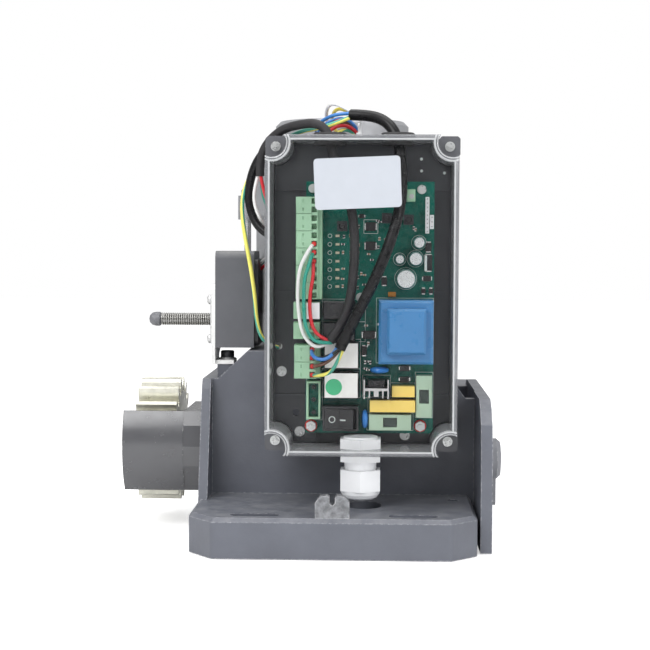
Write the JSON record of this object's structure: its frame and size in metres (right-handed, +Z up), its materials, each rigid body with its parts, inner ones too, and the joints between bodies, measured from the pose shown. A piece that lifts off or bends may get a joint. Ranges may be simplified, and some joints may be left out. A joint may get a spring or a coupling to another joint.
{
  "type": "sliding gate motor",
  "caption": "Sliding gate operator without its outer cover: cast base, upright motor, guarded drive pinion, spring limit switch and a control board in a clear box.",
  "frame": {"origin": "centre of the four slotted floor bolts, on the underside of the cast base", "axes": "+Z up, +X towards the release knob and away from the gate's rack, the control box faces -Y"},
  "size_m": [0.2434, 0.256, 0.2672],
  "materials": {
    "casting_paint": "die cast, satin dark blue-grey paint, worn",
    "grey_plastic": "matte moulded",
    "guard_plastic": "semi-gloss moulded",
    "galvanised": "zinc plated, yellowish",
    "bright_steel": "machined",
    "dark_steel": "blackened",
    "cast_aluminium": "as cast",
    "lamination": "varnished steel laminations",
    "winding": "enamelled copper wire",
    "wheel_bronze": "bronze, oiled",
    "clear_plastic": "clear moulded plastic",
    "tray_plastic": "matte moulded",
    "black_rubber": "matte",
    "board_green": "solder mask",
    "terminal_green": "matte moulded",
    "relay_black": "moulded",
    "relay_case": "gloss moulded",
    "transformer_blue": "moulded case, potted",
    "yellow_film": "epoxy dipped",
    "capacitor_can": "sleeved can",
    "white_plastic": "moulded",
    "cable_sheath": "matte sheath",
    "earth_insulation": "green and yellow",
    "wire_insulation": "coloured wires"
  },
  "bodies": {
    "operator": {"base_housing": "casting_paint", "cover_lug": "casting_paint", "pinion_guard": "guard_plastic", "output_bearings": "bright_steel", "shaft_seal": "black_rubber", "motor_lower_bell": "cast_aluminium", "motor_upper_bell": "cast_aluminium", "stator_core": "lamination", "stator_windings": "winding", "tie_bolts": "bright_steel", "motor_bearings": "bright_steel", "run_capacitor": "white_plastic", "limit_housing": "grey_plastic", "limit_cover": "relay_black", "limit_bracket": "galvanised", "limit_face_plate": "galvanised", "limit_fixings": "dark_steel", "micro_switches": "relay_black", "box_tray": "tray_plastic", "lid_gasket": "black_rubber", "box_lid": "clear_plastic", "lid_screws": "galvanised", "casting_screws": "galvanised", "grommets": "black_rubber", "gland_locknut": "white_plastic", "gland_body": "white_plastic", "gland_cap": "white_plastic", "gland_seal": "black_rubber", "circuit_board": "board_green", "board_fixings": "bright_steel", "terminal_blocks": "terminal_green", "relays": "relay_case", "transformer": "transformer_blue", "suppressors": "yellow_film", "fuse_holders": "relay_black", "electrolytic_capacitors": "capacitor_can", "heat_sink": "dark_steel", "tact_bases": "bright_steel", "rocker_frame": "relay_black", "motor_lead": "cable_sheath", "limit_lead": "cable_sheath", "earth_wire": "earth_insulation", "inner_wires": "wire_insulation", "outer_wires": "wire_insulation"},
    "motor_rotor": {"rotor": "lamination", "worm_shaft": "bright_steel"},
    "output": {"drive_pinion": "galvanised", "output_shaft": "bright_steel", "pinion_retainer": "galvanised", "worm_wheel": "wheel_bronze"},
    "release": {"release_lever": "grey_plastic", "lock_barrel": "bright_steel", "release_spindle": "bright_steel"},
    "limit_arm": {"limit_spring": "galvanised", "limit_plug": "bright_steel", "limit_tip": "grey_plastic"},
    "rocker_key": {"rocker": "relay_black"},
    "button_upper_left": {"tact_button_1": "relay_black"},
    "button_middle": {"tact_button_2": "relay_black"},
    "button_right": {"tact_button_3": "relay_black"}
  },
  "joints": [
    {"name": "motor_spin", "type": "hinge", "parent": "operator", "child": "motor_rotor", "pos_m": [0, 0.0375, 0], "axis": [0, 0, 1], "continuous": true},
    {"name": "output_spin", "type": "hinge", "parent": "operator", "child": "output", "pos_m": [0, 0, 0.0535], "axis": [1, 0, 0], "continuous": true},
    {"name": "release_turn", "type": "hinge", "parent": "operator", "child": "release", "pos_m": [0, -0.018, 0.044], "axis": [1, 0, 0], "range_deg": [0, 90]},
    {"name": "limit_swing", "type": "hinge", "parent": "operator", "child": "limit_arm", "pos_m": [-0.0735, -0.008, 0.1318], "axis": [0, 0, 1], "range_deg": [-25, 25], "stiffness_Nm_per_rad": 0.2},
    {"name": "rocker_tilt", "type": "hinge", "parent": "operator", "child": "rocker_key", "pos_m": [0.0027, -0.0812, 0.0763], "axis": [0, 0, 1], "range_deg": [0, 18]},
    {"name": "press_upper_left", "type": "slide", "parent": "operator", "child": "button_upper_left", "axis": [0, 1, 0], "range_m": [0, 0.0003], "stiffness_N_per_m": 1500},
    {"name": "press_middle", "type": "slide", "parent": "operator", "child": "button_middle", "axis": [0, 1, 0], "range_m": [0, 0.0003], "stiffness_N_per_m": 1500},
    {"name": "press_right", "type": "slide", "parent": "operator", "child": "button_right", "axis": [0, 1, 0], "range_m": [0, 0.0003], "stiffness_N_per_m": 1500}
  ],
  "couplings": [
    {"joint": "output_spin", "follows": "motor_spin", "ratio": -0.033333}
  ]
}
